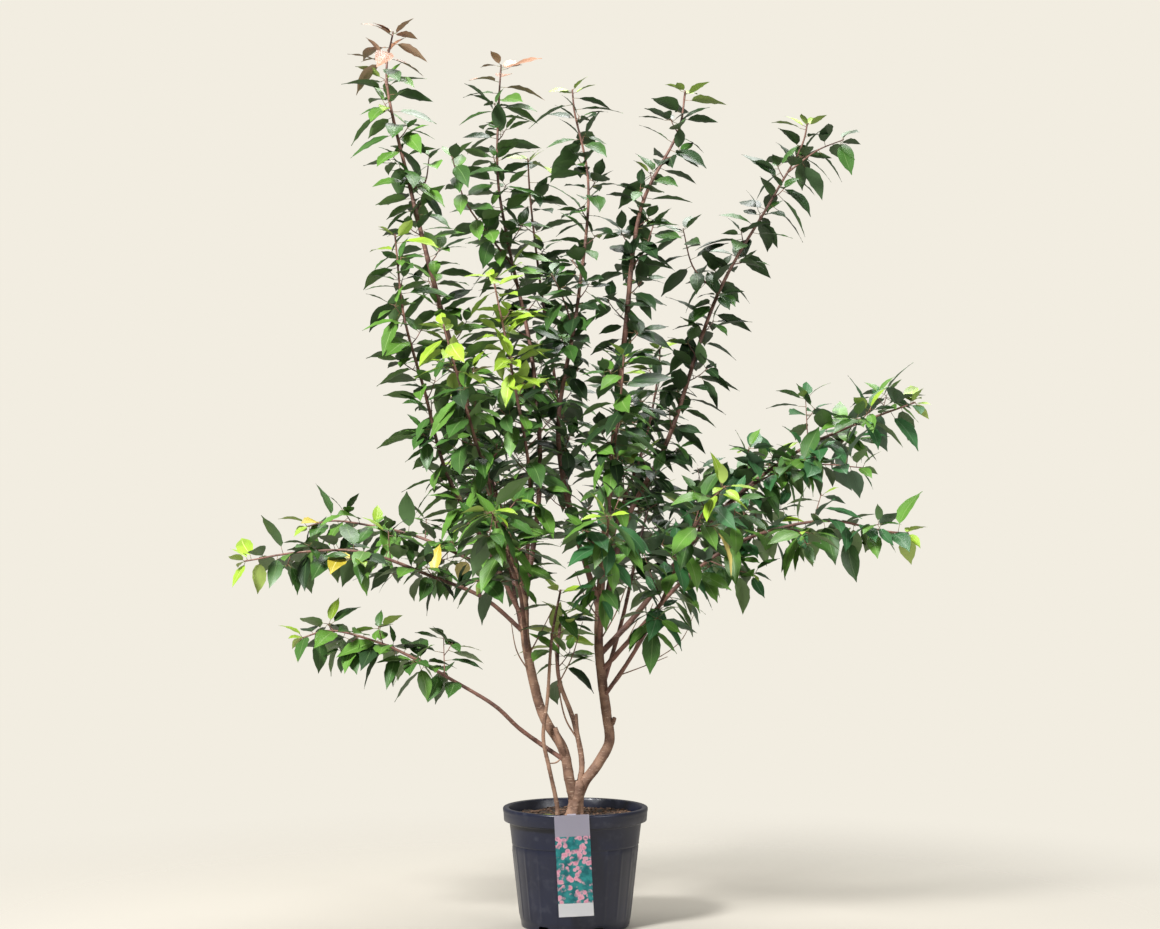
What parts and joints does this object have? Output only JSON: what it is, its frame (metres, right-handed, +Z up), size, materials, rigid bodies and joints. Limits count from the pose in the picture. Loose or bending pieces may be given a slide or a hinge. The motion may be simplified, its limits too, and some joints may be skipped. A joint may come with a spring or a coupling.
{
  "type": "kanzan cherry in a nursery pot",
  "caption": "Young many-stemmed broadleaf tree in leaf, with steep leaders and wide low side boughs, in a tapered plastic nursery pot.",
  "frame": {"origin": "centre of the pot's flat underside", "axes": "+Z up along the trunk, -Y towards the viewer of the picture, +X to the viewer's right"},
  "size_m": [1.9739, 1.4041, 2.5141],
  "materials": {
    "bark": "tan-brown young bark with pale raised pores",
    "shoot_bark": "smooth reddish-brown shoot bark with pale pores",
    "leaf": "satin green leaf with a paler midrib and side veins",
    "pot": "dark blue-grey moulded plastic, faintly dusty",
    "soil": "damp potting soil with bark chips",
    "card": null
  },
  "bodies": {
    "root": {"bough_back_centre": "shoot_bark", "bough_back_left": "shoot_bark", "bough_back_low_left": "shoot_bark", "bough_back_low_right": "shoot_bark", "bough_back_right": "shoot_bark", "bough_centre": "shoot_bark", "bough_far_right": "shoot_bark", "bough_front_left": "shoot_bark", "bough_front_lime": "shoot_bark", "bough_front_low_left": "shoot_bark", "bough_front_low_right": "shoot_bark", "bough_front_right": "shoot_bark", "bough_left_low": "shoot_bark", "bough_left_outer": "shoot_bark", "bough_left_upper": "shoot_bark", "bough_low_left": "shoot_bark", "bough_mid_left": "shoot_bark", "bough_right_front": "shoot_bark", "bough_right_lower": "shoot_bark", "bough_right_upper": "shoot_bark", "care_card": "card", "foliage_back_centre": "leaf", "foliage_back_left": "leaf", "foliage_back_low_left": "leaf", "foliage_back_low_right": "leaf", "foliage_back_right": "leaf", "foliage_centre": "leaf", "foliage_far_right": "leaf", "foliage_front_left": "leaf", "foliage_front_lime": "leaf", "foliage_front_low_left": "leaf", "foliage_front_low_right": "leaf", "foliage_front_right": "leaf", "foliage_left_low": "leaf", "foliage_left_outer": "leaf", "foliage_left_stem": "leaf", "foliage_left_upper": "leaf", "foliage_low_left": "leaf", "foliage_mid_left": "leaf", "foliage_middle_stem": "leaf", "foliage_right_front": "leaf", "foliage_right_lower": "leaf", "foliage_right_stem": "leaf", "foliage_right_upper": "leaf", "foliage_sucker": "leaf", "left_stem": "bark", "middle_stem": "bark", "pot": "pot", "right_stem": "bark", "soil": "soil", "sucker": "bark", "trunk": "bark"}
  },
  "joints": []
}
